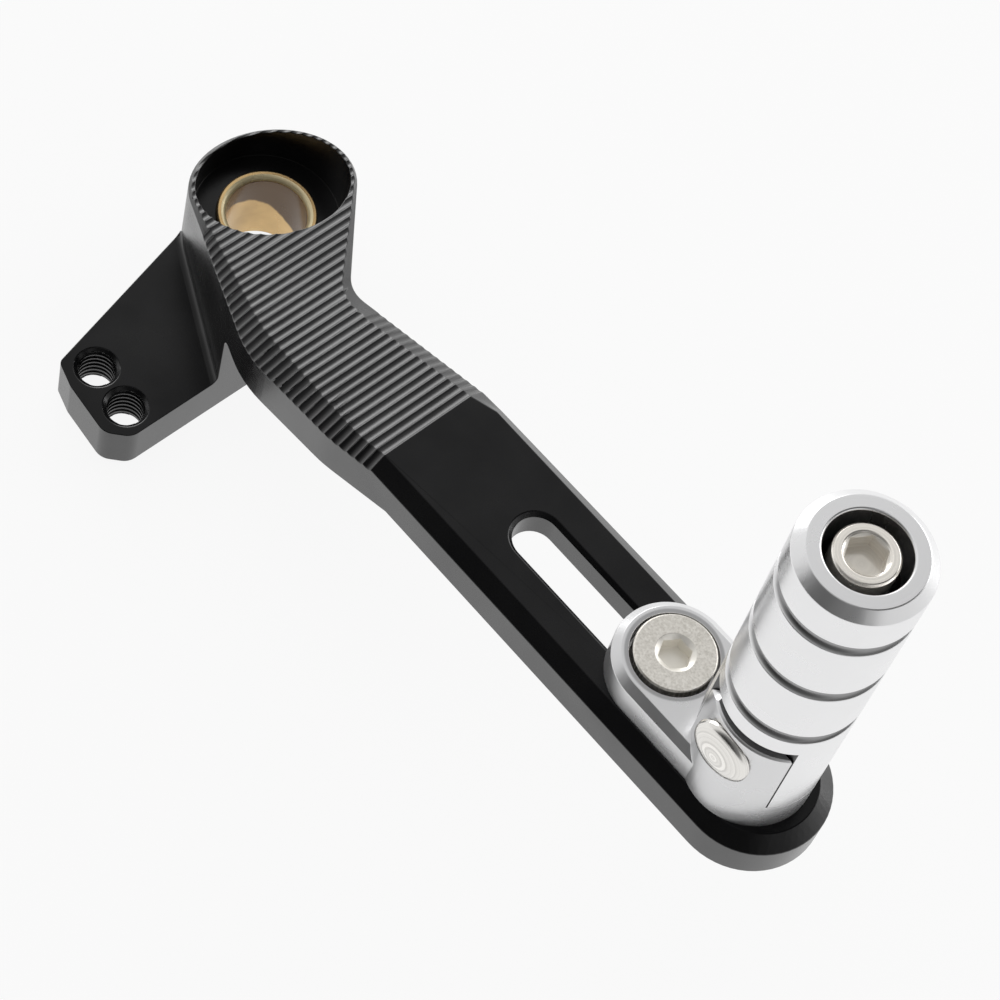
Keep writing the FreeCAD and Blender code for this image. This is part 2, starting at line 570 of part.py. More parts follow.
def peg_spring():
    # Compression spring of rectangular wire between the floor of the bore and the head of the screw.
    low = BORE_FLOOR + SPRING_GAP
    high = SCREW_HEAD_TOP - SCREW_HEAD_HEIGHT - SPRING_GAP - WIRE_HEIGHT
    count = round(SPRING_TURNS * SPRING_STEPS)
    lift = V(0, 0, WIRE_HEIGHT)
    rings = []
    for i in range(count + 1):
        angle = 2 * math.pi * i / SPRING_STEPS
        out = V(math.cos(angle), math.sin(angle), 0)
        foot = V(PEG_X, SLOT_LINE_Y, low + (high - low) * i / count)
        inner = foot + out * (SPRING_R - WIRE_WIDTH / 2)
        outer = foot + out * (SPRING_R + WIRE_WIDTH / 2)
        rings.append([inner, outer, outer + lift, inner + lift])
    faces = [Part.Face(Part.makePolygon(ring + ring[:1])) for ring in (rings[0], rings[-1])]
    for a, b in zip(rings, rings[1:]):
        for i in range(len(a)):
            faces.append(Part.Face(Part.makePolygon([a[i - 1], a[i], b[i], a[i - 1]])))
            faces.append(Part.Face(Part.makePolygon([a[i - 1], b[i], b[i - 1], a[i - 1]])))
    return Part.makeSolid(Part.Shell(faces))


PARTS = {
    "lever_arm": lever_arm,
    "pivot_bush": pivot_bush,
    "peg_base": peg_base,
    "slot_bolt": slot_bolt,
    "slot_nut": slot_nut,
    "peg_barrel": peg_barrel,
    "fold_pin": fold_pin,
    "pin_clip": pin_clip,
    "spring_screw": spring_screw,
    "peg_spring": peg_spring,
}

os.makedirs("parts", exist_ok=True)
for name, make in PARTS.items():
    shape = make()
    if shape.ShapeType == "Compound" and len(shape.Solids) == 1:
        shape = shape.Solids[0]
    shape.exportStep("parts/" + name + ".step")
    print(name, shape.isValid(), len(shape.Solids), round(shape.Volume, 1), shape.BoundBox)
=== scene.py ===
import bmesh
import bpy
import math
from mathutils import Euler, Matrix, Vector


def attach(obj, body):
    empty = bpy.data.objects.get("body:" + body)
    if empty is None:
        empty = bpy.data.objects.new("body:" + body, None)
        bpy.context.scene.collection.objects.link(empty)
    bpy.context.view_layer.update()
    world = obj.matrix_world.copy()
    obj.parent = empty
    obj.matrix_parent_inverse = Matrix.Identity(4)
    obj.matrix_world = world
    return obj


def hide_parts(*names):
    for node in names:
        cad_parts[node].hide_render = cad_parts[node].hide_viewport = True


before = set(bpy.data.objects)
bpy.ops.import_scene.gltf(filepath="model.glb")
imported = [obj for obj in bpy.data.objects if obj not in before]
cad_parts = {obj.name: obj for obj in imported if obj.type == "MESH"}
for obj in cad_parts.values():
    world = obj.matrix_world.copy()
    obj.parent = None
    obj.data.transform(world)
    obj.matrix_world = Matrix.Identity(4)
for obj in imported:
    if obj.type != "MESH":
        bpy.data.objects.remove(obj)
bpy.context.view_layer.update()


# Lever arm: one piece of aluminium, milled from the solid, bead blasted and black anodised.
# The ball cutter leaves its scallops on the ramp, and two holes in the lug are tapped for the rod.
ARM_EDGE = 0.00012
LUG_TOP = 0.0093
LUG_SINK = 0.0009
HOLE_PLACES = ((0.0041, -0.04215), (0.0135, -0.04305))
HOLE_CREST = 0.00335
HOLE_ROOT = 0.0036
THREAD_PITCH = 0.00125
THREAD_ROWS = 148
FILM_BLACK = (0.005, 0.005, 0.0055)
FILM_SLANTS = (0.14, 0.42)
FILM_GLOSS = (0.22, 0.92)
GRAIN_DETAIL = 3.0
CLOUD_SCALE = 90.0
CLOUD_DETAIL = 4.0
NOISE_SPAN = (0.3, 0.7)
WELD = 0.000002
NEAR = 0.00002
FLAT_DEGREES = 0.8
SHARP_DEGREES = 14.0


def machined_shape(node):
    # A copy of a CAD piece with its triangles merged into the faces that they came from.
    shape = bmesh.new()
    shape.from_mesh(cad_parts[node].data)
    bmesh.ops.remove_doubles(shape, verts=shape.verts, dist=WELD)
    flat = math.radians(FLAT_DEGREES)
    bmesh.ops.dissolve_limit(shape, angle_limit=flat, verts=shape.verts, edges=shape.edges)
    return shape


def machined_piece(shape, node, body, width, sharp=SHARP_DEGREES):
    # The finished piece that takes a CAD piece's place, with every sharp edge broken by a small bevel when a
    # width is given.
    piece = new_piece(shape, node + "_finish", sharp)
    if width:
        broken = piece.modifiers.new("broken edges", "BEVEL")
        broken.width = width
        broken.segments = 2
        broken.limit_method = "ANGLE"
        broken.angle_limit = math.radians(sharp)
        broken.use_clamp_overlap = False
    weighted = piece.modifiers.new("flat faces stay flat", "WEIGHTED_NORMAL")
    weighted.keep_sharp = True
    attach(piece, body)
    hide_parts(node)
    return piece


def new_piece(shape, name, sharp):
    # An object made of a finished shape, shaded smooth except at edges that turn more than the sharp angle.
    mesh = bpy.data.meshes.new(name)
    shape.to_mesh(mesh)
    shape.free()
    mesh.shade_smooth()
    mesh.set_sharp_from_angle(angle=math.radians(sharp))
    piece = bpy.data.objects.new(name, mesh)
    bpy.context.collection.objects.link(piece)
    return piece


def rewalled(shape, centre, heights, radii, splits, rows, place):
    # Takes a round wall out, bridges its two rims again and gives every row between them its own place.
    low, high = heights

    def on_wall(vert):
        level = low - NEAR < vert.co.z < high + NEAR
        away = math.hypot(vert.co.x - centre[0], vert.co.y - centre[1])
        return level and radii[0] - NEAR < away < radii[1] + NEAR

    def rims():
        open_edges = [edge for edge in shape.edges if edge.is_boundary]
        return [edge for edge in open_edges if all(on_wall(vert) for vert in edge.verts)]

    wall = [face for face in shape.faces if all(on_wall(vert) for vert in face.verts)]
    bmesh.ops.delete(shape, geom=wall, context="FACES")
    if splits:
        bmesh.ops.subdivide_edges(shape, edges=rims(), cuts=splits)
    bridge = bmesh.ops.bridge_loops(shape, edges=rims())["edges"]
    posts = [edge for edge in bridge if abs(edge.verts[0].co.z - edge.verts[1].co.z) > (high - low) / 2]
    inner = bmesh.ops.subdivide_edges(shape, edges=posts, cuts=rows, use_grid_fill=True)["geom_inner"]
    for vert in [item for item in inner if isinstance(item, bmesh.types.BMVert)]:
        turn = math.atan2(vert.co.y - centre[1], vert.co.x - centre[0])
        radius, height = place((vert.co.z - low) / (high - low), turn)
        vert.co = (centre[0] + radius * math.cos(turn), centre[1] + radius * math.sin(turn), height)
    bmesh.ops.recalc_face_normals(shape, faces=shape.faces)


def tapped(share, turn):
    # Crests and roots that climb one pitch each turn, and a cone at both mouths.
    height = LUG_TOP * share
    root = 0.5 - 0.5 * math.cos(2 * math.pi * (height / THREAD_PITCH - turn / (2 * math.pi)))
    cone = LUG_SINK - min(height, LUG_TOP - height)
    return HOLE_CREST + max(root * (HOLE_ROOT - HOLE_CREST), cone), height


def metal(name, colour, metallic, roughness):
    # A new material, with its nodes, its shader and the place on the object that its patterns follow.
    material = bpy.data.materials.new(name)
    material.use_nodes = True
    tree = material.node_tree
    shader = tree.nodes["Principled BSDF"]
    shader.inputs["Base Color"].default_value = (*colour, 1.0)
    shader.inputs["Metallic"].default_value = metallic
    shader.inputs["Roughness"].default_value = roughness
    place = tree.nodes.new("ShaderNodeTexCoord")
    return material, tree, shader, place.outputs["Object"]


def new_group(name, inputs, outputs):
    group = bpy.data.node_groups.new(name, "ShaderNodeTree")
    for in_out, sockets in (("INPUT", inputs), ("OUTPUT", outputs)):
        for label, kind in sockets.items():
            group.interface.new_socket(label, in_out=in_out, socket_type=kind)
    return group, group.nodes.new("NodeGroupInput"), group.nodes.new("NodeGroupOutput")


def placed_group(tree, group, vector, **values):
    node = tree.nodes.new("ShaderNodeGroup")
    node.node_tree = group
    tree.links.new(vector, node.inputs["Vector"])
    for label, value in values.items():
        node.inputs[label].default_value = value
    return node


def maths(tree, operation, *values):
    node = tree.nodes.new("ShaderNodeMath")
    node.operation = operation
    for socket, value in zip(node.inputs, values):
        if isinstance(value, float):
            socket.default_value = value
        else:
            tree.links.new(value, socket)
    return node.outputs[0]


def ramped(tree, value, start, end, low=0.0, high=1.0):
    # A straight ramp of a value from low to high, held at both its ends.
    node = tree.nodes.new("ShaderNodeMapRange")
    node.inputs["From Min"].default_value = start
    node.inputs["From Max"].default_value = end
    node.inputs["To Min"].default_value = low
    node.inputs["To Max"].default_value = high
    tree.links.new(value, node.inputs["Value"])
    return node.outputs["Result"]


def spread(tree, noise, low, high):
    # Stretches the middle of a noise over the range that a socket needs.
    return ramped(tree, noise, *NOISE_SPAN, low, high)


def bumped(tree, shader, height, distance):
    bump = tree.nodes.new("ShaderNodeBump")
    bump.inputs["Distance"].default_value = distance
    tree.links.new(height, bump.inputs["Height"])
    tree.links.new(bump.outputs["Normal"], shader.inputs["Normal"])


def clouded(tree, vector):
    clouds = tree.nodes.new("ShaderNodeTexNoise")
    clouds.inputs["Scale"].default_value = CLOUD_SCALE
    clouds.inputs["Detail"].default_value = CLOUD_DETAIL
    tree.links.new(vector, clouds.inputs["Vector"])
    return clouds.outputs["Fac"]


def blasted_grain():
    # Fine grain of a bead-blasted, anodised surface, with broad faint clouds in its sheen.
    inputs = {"Vector": "NodeSocketVector", "Grain": "NodeSocketFloat"}
    outputs = {"Height": "NodeSocketFloat", "Clouds": "NodeSocketFloat"}
    group, start, end = new_group("blasted grain", inputs, outputs)
    grain = group.nodes.new("ShaderNodeTexNoise")
    grain.inputs["Detail"].default_value = GRAIN_DETAIL
    group.links.new(start.outputs["Vector"], grain.inputs["Vector"])
    group.links.new(start.outputs["Grain"], grain.inputs["Scale"])
    group.links.new(grain.outputs["Fac"], end.inputs["Height"])
    group.links.new(clouded(group, start.outputs["Vector"]), end.inputs["Clouds"])
    return group


GRAIN = blasted_grain()


def black_anodised():
    # The porous film shines little from above and much more at a low angle, a little unevenly all over.
    material, tree, shader, place = metal("black anodised", FILM_BLACK, metallic=0.0, roughness=0.25)
    grain = placed_group(tree, GRAIN, place, Grain=5200.0)
    roughness = spread(tree, grain.outputs["Clouds"], low=0.2, high=0.28)
    tree.links.new(roughness, shader.inputs["Roughness"])
    bumped(tree, shader, grain.outputs["Height"], distance=0.000012)
    slant = tree.nodes.new("ShaderNodeLayerWeight")
    slant.inputs["Blend"].default_value = 0.5
    gloss = ramped(tree, slant.outputs["Facing"], *FILM_SLANTS, *FILM_GLOSS)
    uneven = spread(tree, clouded(tree, place), low=0.85, high=1.2)
    tree.links.new(maths(tree, "MULTIPLY", gloss, uneven), shader.inputs["Specular IOR Level"])
    return material


arm_shape = machined_shape("lever_arm")
for spot in HOLE_PLACES:
    rewalled(arm_shape, spot, (0.0, LUG_TOP), (0.0, HOLE_CREST + LUG_SINK), 0, THREAD_ROWS, tapped)
arm = machined_piece(arm_shape, "lever_arm", "lever", ARM_EDGE)
arm.data.materials.append(black_anodised())


# Pivot bush: a plain sleeve of sintered bronze, turned, with chamfered mouths.
# It is pressed into the boss of the arm, and its bore runs on the pivot shaft.
BUSH_EDGE = 0.0003
BUSH_BORE_R = 0.0075
BUSH_CHAMFER = 0.0007
LIP_WIDTH = 1.4 * BUSH_CHAMFER
# Painted highlight: the lip next to the bore is painted pale cream and made less metallic so that it shows
# bright.
LIP_HIGHLIGHT = (1.0, 0.85, 0.52)
BRONZE = (0.85, 0.66, 0.4)
# Painted reflections: the gold is clouded between a darker and a brighter tone.
BRONZE_REFLECTION_DARK = (0.5, 0.34, 0.16)
BRONZE_REFLECTION_LIGHT = (0.82, 0.57, 0.27)
# Painted dark reflection: a brown band over the upper part of the bore, with a ragged, leaning lower edge.
BORE_REFLECTION_BROWN = (0.14, 0.1, 0.07)
BORE_REFLECTION_FOOT = 0.0088
BORE_REFLECTION_LEAN = 0.35
BORE_REFLECTION_RAGGED = 0.0012
BORE_REFLECTION_EDGE = 0.0006


def measured(tree, place, centre):
    # Distance from an upright axis, height, and the place's steps along X and Y from that axis.
    parts = tree.nodes.new("ShaderNodeSeparateXYZ")
    tree.links.new(place, parts.inputs[0])
    steps = [maths(tree, "SUBTRACT", parts.outputs[i], centre[i]) for i in (0, 1)]
    squares = [maths(tree, "MULTIPLY", step, step) for step in steps]
    return maths(tree, "SQRT", maths(tree, "ADD", *squares)), parts.outputs[2], *steps


def blended(tree, mask, first, second):
    # Two colours mixed by a mask. Either may be a plain colour or the output of another blend.
    node = tree.nodes.new("ShaderNodeMix")
    node.data_type = "RGBA"
    tree.links.new(mask, node.inputs["Factor"])
    for label, colour in (("A", first), ("B", second)):
        if isinstance(colour, tuple):
            node.inputs[label].default_value = (*colour, 1.0)
        else:
            tree.links.new(colour, node.inputs[label])
    return node.outputs["Result"]


def either(tree, mask, outside, inside):
    # One plain value outside a mask and another inside it.
    return ramped(tree, mask, 0.0, 1.0, outside, inside)


def tool_marks():
    # Fine rings and bands that a lathe leaves round the Z axis of its vector.
    inputs = {"Vector": "NodeSocketVector", "Pitch": "NodeSocketFloat"}
    group, start, end = new_group("tool marks", inputs, {"Height": "NodeSocketFloat"})
    radius, height = measured(group, start.outputs["Vector"], (0.0, 0.0))[:2]
    travel = maths(group, "ADD", radius, height)
    rings = group.nodes.new("ShaderNodeTexNoise")
    rings.noise_dimensions = "1D"
    rings.inputs["Scale"].default_value = 1.0
    rings.inputs["Detail"].default_value = 2.0
    group.links.new(maths(group, "DIVIDE", travel, start.outputs["Pitch"]), rings.inputs["W"])
    group.links.new(rings.outputs["Fac"], end.inputs["Height"])
    return group


MARKS = tool_marks()


def turned_bronze():
    # Gold clouded with painted dark reflections, a painted dark reflection in brown over the upper part of
    # the bore, and a painted highlight on the lip, paler and less metallic.
    material, tree, shader, place = metal("turned bronze", BRONZE, metallic=0.85, roughness=0.2)
    radius, height, along, across = measured(tree, place, (0.0, 0.0))
    clouds = placed_group(tree, GRAIN, place, Grain=2600.0).outputs["Clouds"]
    # Painted reflections: clouds of darker and brighter gold.
    gold = blended(tree, spread(tree, clouds, low=0.0, high=1.0), BRONZE_REFLECTION_DARK, BRONZE_REFLECTION_LIGHT)
    # Painted dark reflection: the bore above a ragged, leaning edge is painted brown.
    lean = maths(tree, "MULTIPLY", maths(tree, "ADD", along, across), BORE_REFLECTION_LEAN)
    ragged = maths(tree, "ADD", spread(tree, clouds, -BORE_REFLECTION_RAGGED, BORE_REFLECTION_RAGGED), lean)
    dark_reflection = ramped(tree, maths(tree, "ADD", height, ragged), BORE_REFLECTION_FOOT, BORE_REFLECTION_FOOT + BORE_REFLECTION_EDGE)
    bore = maths(tree, "LESS_THAN", radius, BUSH_BORE_R + NEAR)
    reflected = blended(tree, maths(tree, "MULTIPLY", dark_reflection, bore), gold, BORE_REFLECTION_BROWN)
    # Painted highlight on the lip: pale cream and less metallic.
    lip = maths(tree, "MULTIPLY", maths(tree, "GREATER_THAN", radius, BUSH_BORE_R + NEAR),
                maths(tree, "LESS_THAN", radius, BUSH_BORE_R + LIP_WIDTH))
    tree.links.new(blended(tree, lip, reflected, LIP_HIGHLIGHT), shader.inputs["Base Color"])
    tree.links.new(either(tree, lip, outside=0.85, inside=0.3), shader.inputs["Metallic"])
    tree.links.new(spread(tree, clouds, low=0.18, high=0.34), shader.inputs["Roughness"])
    marks = placed_group(tree, MARKS, place, Pitch=0.00012)
    bumped(tree, shader, marks.outputs["Height"], distance=0.000012)
    return material


bush = machined_piece(machined_shape("pivot_bush"), "pivot_bush", "lever", BUSH_EDGE)
bush.data.materials.append(turned_bronze())


# Peg base: foot and clevis in one piece of aluminium, milled, finely blasted and clear anodised.
# The slot bolt clamps its foot on the arm, and the two ears of its clevis carry the fold pin.
BASE_EDGE = 0.00008
BASE_PALE = (0.76, 0.76, 0.765)
BOLT_PLACE = (0.1213, -0.0215)
# Painted shade: a darker ring round the bolt's head, where the pocket's step would be.
POCKET_RING_R = 0.0079
RING_HALF = 0.0005
RING_CORE = 0.0002
RING_SHADE = 0.65
STEP_SHADE_GREY = (0.24, 0.24, 0.245)


def silver_anodised(name, centre, pitch, depth, pale, metallic):
    # Fine blasted grain over the rings that the tool left round an upright axis.
    material, tree, shader, place = metal(name, pale, metallic, roughness=0.3)
    mapping = tree.nodes.new("ShaderNodeMapping")
    mapping.inputs["Location"].default_value = (-centre[0], -centre[1], 0.0)
    tree.links.new(place, mapping.inputs["Vector"])
    grain = placed_group(tree, GRAIN, place, Grain=4200.0)
    marks = placed_group(tree, MARKS, mapping.outputs["Vector"], Pitch=pitch)
    tree.links.new(spread(tree, grain.outputs["Clouds"], low=0.24, high=0.34), shader.inputs["Roughness"])
    rings = maths(tree, "MULTIPLY", marks.outputs["Height"], depth)
    bumped(tree, shader, maths(tree, "ADD", grain.outputs["Height"], rings), distance=0.000003)
    return material, tree, shader, place


def milled_silver():
    # The step that the pocket's cutter left round the bolt's head is not in the shape; a ring of painted
    # shade stands in for it.
    material, tree, shader, place = silver_anodised("silver anodised milled", BOLT_PLACE, pitch=0.0004,
                                                    depth=1.5, pale=BASE_PALE, metallic=0.85)
    radius = measured(tree, place, BOLT_PLACE)[0]
    # Painted shade: a grey ring at the pocket's step round the bolt's head.
    off = maths(tree, "ABSOLUTE", maths(tree, "SUBTRACT", radius, POCKET_RING_R))
    ring = ramped(tree, off, RING_HALF, RING_CORE, high=RING_SHADE)
    tree.links.new(blended(tree, ring, BASE_PALE, STEP_SHADE_GREY), shader.inputs["Base Color"])
    return material


base = machined_piece(machined_shape("peg_base"), "peg_base", "slider", BASE_EDGE)
base.data.materials.append(milled_silver())


# Slot bolt and its nut: steel, zinc plated, the bolt's flat head with a straight knurl and a socket.
# The bolt goes down through the foot and the slot of the arm into the nut, and clamps the peg there.
BOLT_EDGE = 0.00006
BOLT_SHARP_DEGREES = 30.0
NUT_EDGE = 0.00015
SOCKET_R = 0.0034
HEAD_R = 0.007
HEAD_FOOT = 0.0542
HEAD_SHOULDER = 0.0588
HEAD_SPLITS = 3
KNURLS = 56
KNURL_DEPTH = 0.00016
KNURL_EDGE = 0.0003
KNURL_ROWS = 11
ZINC = (0.6, 0.58, 0.54)
ZINC_DULL = (0.66, 0.63, 0.57)
ZINC_BRIGHT = (0.92, 0.89, 0.83)
# Painted light: the inside of the bolt's socket is painted pale.
SOCKET_PAINTED_LIGHT = (1.0, 0.97, 0.9)


def knurled(share, turn):
    # Straight knurl, with a plain edge above and below.
    height = HEAD_FOOT + (HEAD_SHOULDER - HEAD_FOOT) * share
    plain = min(height - HEAD_FOOT, HEAD_SHOULDER - height) < KNURL_EDGE
    tooth = 1.0 if plain else 0.5 + 0.5 * math.cos(KNURLS * turn)
    return HEAD_R - KNURL_DEPTH * (1.0 - tooth), height


def plated_steel():
    # The plating shows its fine grain on the flat head; the socket is painted paler and less metallic, as
    # painted light in that recess.
    material, tree, shader, place = metal("zinc plated steel", ZINC, metallic=1.0, roughness=0.34)
    grain = placed_group(tree, GRAIN, place, Grain=2600.0)
    plate = blended(tree, spread(tree, grain.outputs["Height"], low=0.0, high=1.0), ZINC_DULL, ZINC_BRIGHT)
    # Painted light in the socket: paler colour and less metallic.
    socket = maths(tree, "LESS_THAN", measured(tree, place, BOLT_PLACE)[0], SOCKET_R)
    tree.links.new(blended(tree, socket, plate, SOCKET_PAINTED_LIGHT), shader.inputs["Base Color"])
    tree.links.new(either(tree, socket, outside=1.0, inside=0.45), shader.inputs["Metallic"])
    tree.links.new(spread(tree, grain.outputs["Clouds"], low=0.28, high=0.4), shader.inputs["Roughness"])
    bumped(tree, shader, grain.outputs["Height"], distance=0.00002)
    return material


PLATED = plated_steel()
bolt_shape = machined_shape("slot_bolt")
rewalled(bolt_shape, BOLT_PLACE, (HEAD_FOOT, HEAD_SHOULDER), (HEAD_R, HEAD_R),
         HEAD_SPLITS, KNURL_ROWS, knurled)
bolt = machined_piece(bolt_shape, "slot_bolt", "slider", BOLT_EDGE, BOLT_SHARP_DEGREES)
nut = machined_piece(machined_shape("slot_nut"), "slot_nut", "slider", NUT_EDGE)
for piece in (bolt, nut):
    piece.data.materials.append(PLATED)


# Peg barrel: aluminium, turned with three round-bottomed grooves, its tongue milled, clear anodised.
# The tongue swings with its pin between the ears of the clevis, and the bore takes spring and screw.
BARREL_EDGE = 0.00012
BARREL_SHARP_DEGREES = 24.0
PEG_PLACE = (0.141, -0.0215)
BARREL_R = 0.011
BARREL_FOOT = 0.0783
BARREL_PALE = (0.85, 0.85, 0.855)
TONGUE_HALF = 0.0066
GROOVES_END = 0.116
GROOVE_FOOTS = (0.0823, 0.0973, 0.1123)
GROOVE_HEIGHT = 0.0026
GROOVE_DEPTH = 0.001
GROOVE_ROWS = 23
# Painted shade: the bottoms of the grooves are darker, fading out towards -X.
GROOVE_SHADE_DEPTHS = (0.0001, 0.0005)
GROOVE_SHADE = 0.68
GROOVE_SHADE_FADES = (-0.0092, -0.0066)
# Painted shade: the tongue's flats below the barrel, in the gap between the ears of the clevis.
GAP_SHADE_GREY = (0.1, 0.1, 0.1)


def round_bottomed(foot):
    # Arc through both lips of a groove and its deepest line.
    half = GROOVE_HEIGHT / 2
    radius = (half ** 2 + GROOVE_DEPTH ** 2) / (2 * GROOVE_DEPTH)

    def place(share, turn):
        lean = math.asin(half / radius) * (2 * share - 1)
        height = foot + half + radius * math.sin(lean)
        return BARREL_R - GROOVE_DEPTH + radius * (1 - math.cos(lean)), height

    return place


def turned_silver():
    # The tongue's flats below the barrel are painted dark grey as painted shade in the gap between the ears,
    # and the bottoms of the grooves are painted darker as painted shade, fading out towards -X.
    material, tree, shader, place = silver_anodised("silver anodised turned", PEG_PLACE, pitch=0.0002,
                                                    depth=1.2, pale=BARREL_PALE, metallic=1.0)
    radius, height, along, across = measured(tree, place, PEG_PLACE)
    flat = maths(tree, "GREATER_THAN", maths(tree, "ABSOLUTE", across), TONGUE_HALF - NEAR)
    below = maths(tree, "LESS_THAN", height, BARREL_FOOT - NEAR)
    shallow, deep = [BARREL_R - depth for depth in GROOVE_SHADE_DEPTHS]
    # Painted shade at the bottom of each groove, fading out towards -X.
    groove_shade = ramped(tree, radius, shallow, deep, high=GROOVE_SHADE)
    groove_shade = maths(tree, "MULTIPLY", groove_shade, ramped(tree, along, *GROOVE_SHADE_FADES))
    grooved = maths(tree, "MULTIPLY", maths(tree, "LESS_THAN", height, GROOVES_END),
                    maths(tree, "SUBTRACT", 1.0, below))
    # Painted shade on the tongue's flats below the barrel.
    gap_shade = maths(tree, "MULTIPLY", flat, below)
    painted_shade = maths(tree, "MAXIMUM", gap_shade, maths(tree, "MULTIPLY", groove_shade, grooved))
    tree.links.new(blended(tree, painted_shade, BARREL_PALE, GAP_SHADE_GREY), shader.inputs["Base Color"])
    return material


barrel_shape = machined_shape("peg_barrel")
for foot in GROOVE_FOOTS:
    rewalled(barrel_shape, PEG_PLACE, (foot, foot + GROOVE_HEIGHT), (BARREL_R - GROOVE_DEPTH, BARREL_R),
             0, GROOVE_ROWS, round_bottomed(foot))
barrel = machined_piece(barrel_shape, "peg_barrel", "peg", BARREL_EDGE, BARREL_SHARP_DEGREES)
barrel.data.materials.append(turned_silver())


# Fold pin: stainless steel, its low crowned head turned smooth with rings from the lathe,
# the shank plain, held by the spring screw that goes down into its middle.
PIN_SHARP_DEGREES = 40.0
PIN_PLACE = (0.1401, 0.0686)
PIN_HEAD_R = 0.0056
HEAD_RIM_Y = -0.0323
HEAD_CROWN = 0.0019
CROWN_STEPS = 16
PIN_PALE = (0.94, 0.92, 0.88)


def crowned_pin():
    # The pin with its head's face drawn up from the rim in rings, steep at first and flat in the middle.
    shape = machined_shape("fold_pin")
    flat_end = [face for face in shape.faces if all(vert.co.y < HEAD_RIM_Y + NEAR for vert in face.verts)]
    bmesh.ops.delete(shape, geom=flat_end, context="FACES")
    edges = [edge for edge in shape.edges if edge.is_boundary]
    middle = Vector((PIN_PLACE[0], 0.0, PIN_PLACE[1]))
    for step in range(1, CROWN_STEPS + 1):
        grown = bmesh.ops.extrude_edge_only(shape, edges=edges)["geom"]
        ring = [item for item in grown if isinstance(item, bmesh.types.BMVert)]
        edges = [item for item in grown if isinstance(item, bmesh.types.BMEdge) and item.is_boundary]
        lean = math.pi / 2 * step / CROWN_STEPS
        for vert in ring:
            way = Vector((vert.co.x, 0.0, vert.co.z)) - middle
            vert.co = middle + way.normalized() * max(PIN_HEAD_R * math.cos(lean), NEAR)
            vert.co.y = HEAD_RIM_Y - HEAD_CROWN * math.sin(lean)
    top = middle + Vector((0.0, HEAD_RIM_Y - HEAD_CROWN, 0.0))
    bmesh.ops.pointmerge(shape, verts=ring, merge_co=top)
    bmesh.ops.recalc_face_normals(shape, faces=shape.faces)
    return shape


def bright_steel(name, centre, axis_turn, pitch, depth, pale, contrast):
    # Stainless steel with rings of the lathe round an axis, in its colour and in its relief.
    material, tree, shader, place = metal(name, pale, metallic=1.0, roughness=0.22)
    mapping = tree.nodes.new("ShaderNodeMapping")
    mapping.vector_type = "TEXTURE"
    mapping.inputs["Location"].default_value = centre
    mapping.inputs["Rotation"].default_value = axis_turn
    tree.links.new(place, mapping.inputs["Vector"])
    rings = placed_group(tree, MARKS, mapping.outputs["Vector"], Pitch=pitch).outputs["Height"]
    grain = placed_group(tree, GRAIN, place, Grain=3000.0)
    dim = tuple(contrast * part for part in pale)
    banded = blended(tree, spread(tree, rings, low=0.0, high=1.0), dim, pale)
    tree.links.new(banded, shader.inputs["Base Color"])
    tree.links.new(spread(tree, grain.outputs["Clouds"], low=0.16, high=0.28), shader.inputs["Roughness"])
    bumped(tree, shader, rings, depth)
    return material, tree, shader, place


def turned_pin():
    centre = (PIN_PLACE[0], 0.0, PIN_PLACE[1])
    return bright_steel("bright steel pin", centre, (math.pi / 2, 0.0, 0.0), pitch=0.0005,
                        depth=0.00004, pale=PIN_PALE, contrast=0.72)[0]


pin = machined_piece(crowned_pin(), "fold_pin", "peg", width=0.0, sharp=PIN_SHARP_DEGREES)
pin.data.materials.append(turned_pin())


# Spring screw: stainless steel, turned, the hexagon socket in its head formed by a punch.
# It goes down through the spring in the barrel's bore and is screwed into the fold pin.
SCREW_EDGE = 0.0001
SCREW_SOCKET_R = 0.0034
SCREW_PALE = (0.97, 0.93, 0.86)


def socket_steel():
    # The inside of the socket is a pale matt from the punch that formed it.
    centre = (*PEG_PLACE, 0.0)
    material, tree, shader, place = bright_steel("bright steel screw", centre, (0.0, 0.0, 0.0), pitch=0.0006,
                                                 depth=0.000008, pale=SCREW_PALE, contrast=0.9)
    socket = maths(tree, "LESS_THAN", measured(tree, place, PEG_PLACE)[0], SCREW_SOCKET_R)
    tree.links.new(either(tree, socket, outside=0.85, inside=0.3), shader.inputs["Metallic"])
    return material


screw = machined_piece(machined_shape("spring_screw"), "spring_screw", "peg", SCREW_EDGE)
screw.data.materials.append(socket_steel())


# Spring and retaining ring: plain spring steel, the spring wound round the shank of the screw
# from wire of square-cornered section, the ring punched and pushed on the pin's far end.
RING_EDGE = 0.00012
SPRING_SHARP_DEGREES = 40.0
SPRING_LOW = 0.09805
SPRING_HIGH = 0.11685
SPRING_R = 0.0047
SPRING_TURNS = 4.5
SPRING_STEPS = 216
WIRE = (0.0013, 0.0011)
WIRE_EDGE = 0.0002
SPRING_GREY = (0.3, 0.3, 0.31)


